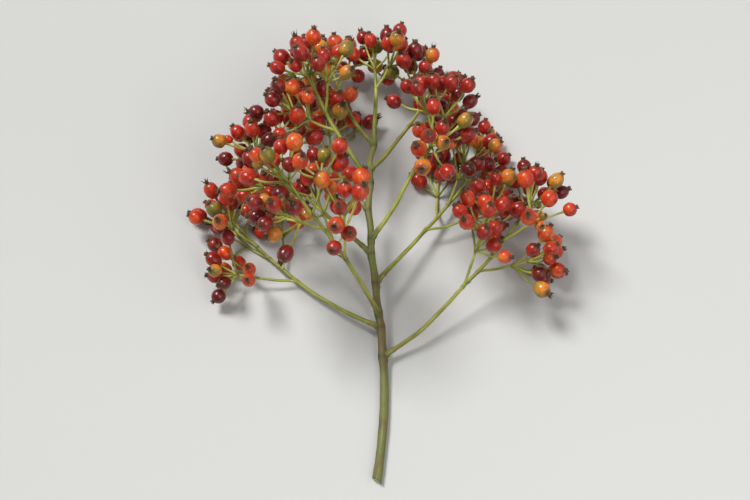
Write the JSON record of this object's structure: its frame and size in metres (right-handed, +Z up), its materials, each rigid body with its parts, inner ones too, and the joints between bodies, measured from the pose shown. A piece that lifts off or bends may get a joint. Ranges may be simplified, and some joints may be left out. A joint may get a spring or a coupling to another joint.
{
  "type": "rose hip sprig",
  "caption": "Cut, leafless rose sprig lying on a surface: a woody stem with forking green sprays full of small glossy red hips.",
  "frame": {"origin": "middle of the bounding box's underside, on the surface that the sprig lies on", "axes": "+Y along the stem from the cut end to the tip, +Z up from the surface, +X across the head"},
  "size_m": [0.2591, 0.3184, 0.1303],
  "materials": {
    "hip_skin": "smooth waxy fruit skin, red to orange-red, glossy",
    "stem_bark": "smooth green-brown young bark, satin",
    "green_stalk": "smooth green stalk, satin",
    "dry_calyx": "dry brown-black crown and bract scales, matt",
    "cut_wood": "pale fresh-cut wood with a soft pith, matt"
  },
  "bodies": {
    "root": {"main_stem": "stem_bark", "spray_01": "hip_skin", "spray_02": "hip_skin", "spray_03": "hip_skin", "spray_04": "hip_skin", "spray_05": "hip_skin", "spray_06": "hip_skin", "spray_07": "hip_skin", "spray_08": "hip_skin", "spray_09": "hip_skin", "spray_10": "hip_skin", "tip_spray": "hip_skin"}
  },
  "joints": []
}
